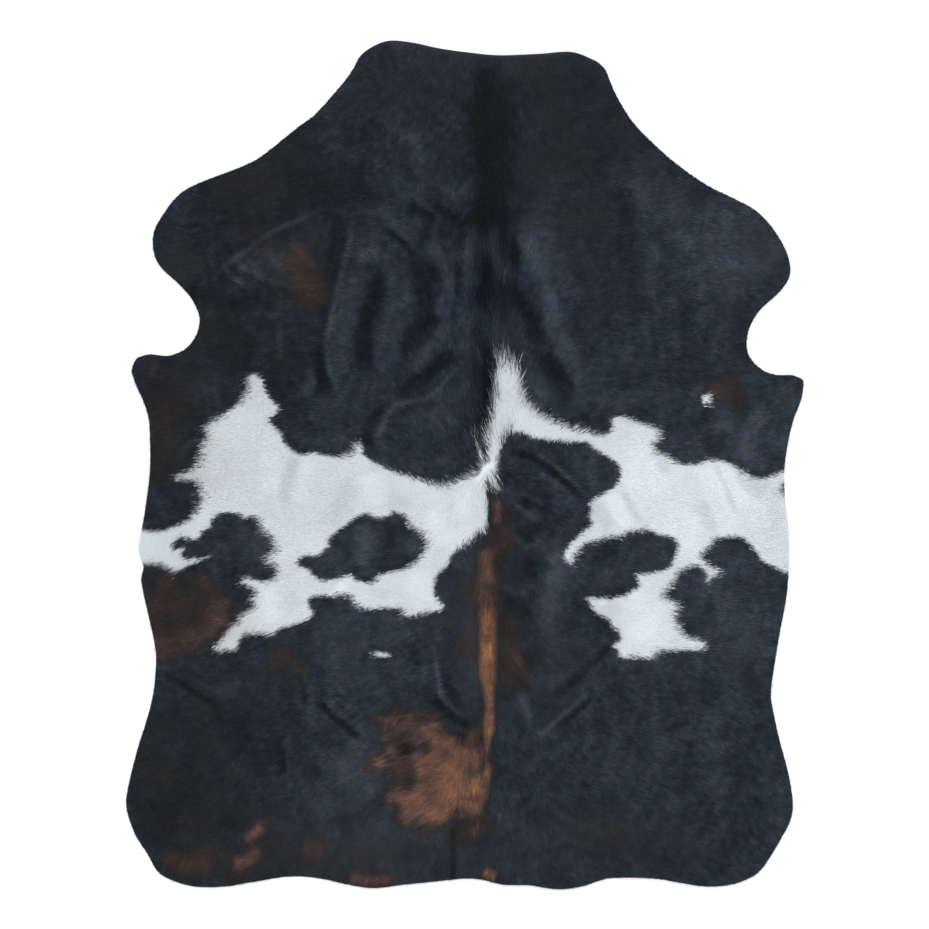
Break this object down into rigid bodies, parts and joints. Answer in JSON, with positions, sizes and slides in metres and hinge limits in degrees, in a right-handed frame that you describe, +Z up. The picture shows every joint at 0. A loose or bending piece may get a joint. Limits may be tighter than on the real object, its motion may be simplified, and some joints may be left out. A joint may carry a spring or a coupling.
{
  "type": "cowhide rug",
  "caption": "Whole cowhide rug with the hair on: a thin, flat hide of natural outline with short leg and neck lobes, lying in a few soft ripples.",
  "frame": {"origin": "on the surface that the hide lies on, under the middle of its outline", "axes": "+Y along the spine towards the neck, +X across the hide to the right as seen from above with the neck away, +Z up"},
  "size_m": [1.7547, 2.2004, 0.015],
  "materials": {
    "cowhide": "hair-on hide, slate black with cool white patches and some rust brown, soft silky sheen; plain suede underneath"
  },
  "bodies": {
    "root": {"hide": "cowhide"}
  },
  "joints": []
}
